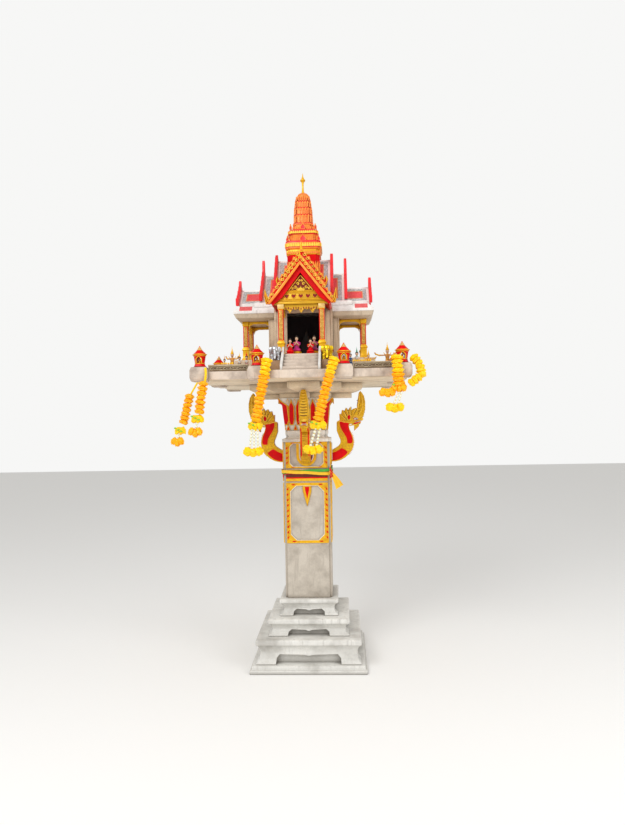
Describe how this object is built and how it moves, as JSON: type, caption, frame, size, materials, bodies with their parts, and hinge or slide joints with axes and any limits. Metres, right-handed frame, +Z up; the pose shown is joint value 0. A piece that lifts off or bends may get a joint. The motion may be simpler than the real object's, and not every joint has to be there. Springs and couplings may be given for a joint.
{
  "type": "pedestal spirit house",
  "caption": "Small tiered shrine hall with a prang tower on a square platform, carried by a panelled shaft with nagas, a lotus capital and a stepped lion-foot base.",
  "frame": {"origin": "centre of the base plinth where it meets the floor", "axes": "+Z up, -Y towards the front with the stair and the doorway, +X to the right seen from the front"},
  "size_m": [1.633, 1.4387, 3.448],
  "materials": {
    "bright_paint": "silver and gold paint over cast plaster figures, glossy",
    "gilding": "gold enamel over cast ornament, uneven and half gloss",
    "marigold": "packed orange and yellow petals, matt",
    "pedestal_paint": "off-white masonry paint over cast concrete, grey grime in the hollows",
    "red_lacquer": "red enamel, half gloss",
    "roof_tile": "pink-red tile field with a silver mosaic border",
    "weathered_cement": "bare and thinly washed cement, speckled and stained",
    "white_trim": "white masonry paint, weathered"
  },
  "bodies": {
    "root": {"bargeboards": "gilding", "base_plinth": "pedestal_paint", "bracket_lower": "weathered_cement", "bracket_upper": "weathered_cement", "dancers": "bright_paint", "elephant_blocks": "weathered_cement", "elephants": "bright_paint", "end_boards_low": "red_lacquer", "end_boards_middle": "red_lacquer", "end_boards_top": "red_lacquer", "garlands": "marigold", "hall_floor": "weathered_cement", "hall_walls": "weathered_cement", "inner_plaque": "gilding", "lantern_posts": "weathered_cement", "lanterns": "red_lacquer", "long_frames": "gilding", "lotus_bracts": "gilding", "lotus_core": "pedestal_paint", "lotus_petals": "red_lacquer", "lower_foot_tier": "pedestal_paint", "naga_back": "gilding", "naga_coils": "gilding", "naga_frames": "gilding", "naga_front": "gilding", "naga_left": "gilding", "naga_right": "gilding", "parapet_back": "weathered_cement", "parapet_front": "weathered_cement", "parapet_left": "weathered_cement", "parapet_right": "weathered_cement", "platform_slab": "weathered_cement", "porch_beams": "gilding", "porch_columns_front": "gilding", "porch_columns_side": "gilding", "porch_lintels": "gilding", "porch_pediments": "red_lacquer", "porch_sills": "gilding", "roof_low": "roof_tile", "roof_middle": "roof_tile", "roof_porches": "roof_tile", "roof_skirt": "white_trim", "roof_top": "roof_tile", "servants": "red_lacquer", "shaft": "pedestal_paint", "shaft_bands": "gilding", "shaft_cornice": "pedestal_paint", "shaft_foot_tier": "pedestal_paint", "side_porch_beams": "gilding", "stair": "weathered_cement", "stair_cheeks": "white_trim", "tower_antefixes": "gilding", "tower_base": "gilding", "tower_cap": "gilding", "tower_cob": "gilding", "tower_cornice": "gilding", "tower_finial": "gilding", "upper_foot_tier": "pedestal_paint", "valances": "gilding"}
  },
  "joints": []
}
